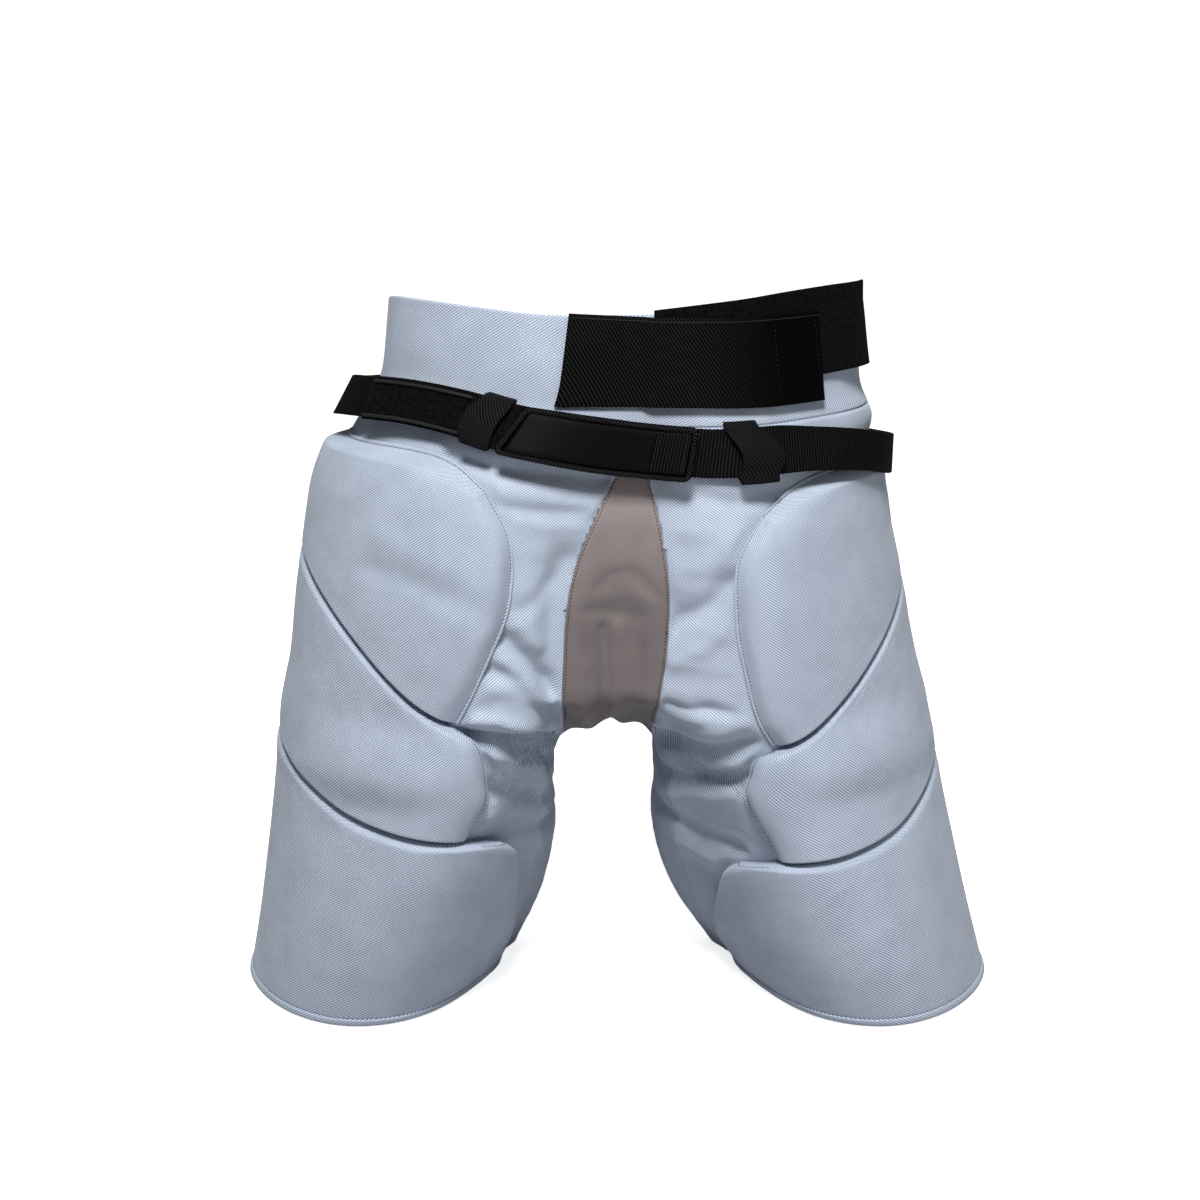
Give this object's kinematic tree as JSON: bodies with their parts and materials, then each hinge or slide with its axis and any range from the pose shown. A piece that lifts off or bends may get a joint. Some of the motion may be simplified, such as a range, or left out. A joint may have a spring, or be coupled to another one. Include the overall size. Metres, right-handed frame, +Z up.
{
  "type": "padded goalkeeper hip shorts",
  "caption": "Padded hip and thigh shorts with stepped side pads, a stretch crotch panel, a wide elastic waist closure and a narrow webbing belt with a padded tab.",
  "frame": {"origin": "middle of the footprint box on the floor under the two leg hems", "axes": "+Z up, front faces -Y, +X to the right as seen from the front"},
  "size_m": [0.5324, 0.2906, 0.4956],
  "materials": {
    "shorts_cloth": "light blue-grey twill",
    "pad_cloth": "light blue-grey twill over foam",
    "crotch_knit": "taupe stretch knit, slight sheen",
    "elastic": "black ribbed elastic",
    "loop_fleece": "black brushed loop fabric",
    "webbing": "black woven webbing",
    "tab_face": "black textured rubber"
  },
  "bodies": {
    "root": {"shell": "shorts_cloth", "gusset": "crotch_knit", "waistband": "shorts_cloth", "left_upper_pad": "pad_cloth", "left_middle_pad": "pad_cloth", "left_lower_pad": "pad_cloth", "left_hem_band": "pad_cloth", "right_upper_pad": "pad_cloth", "right_middle_pad": "pad_cloth", "right_lower_pad": "pad_cloth", "right_hem_band": "pad_cloth", "elastic_strap": "elastic", "loop_panel": "loop_fleece", "belt_webbing": "webbing", "belt_loop_strap": "loop_fleece", "belt_tab": "tab_face", "tab_binding": "webbing", "left_keeper": "webbing", "right_keeper": "webbing"}
  },
  "joints": []
}
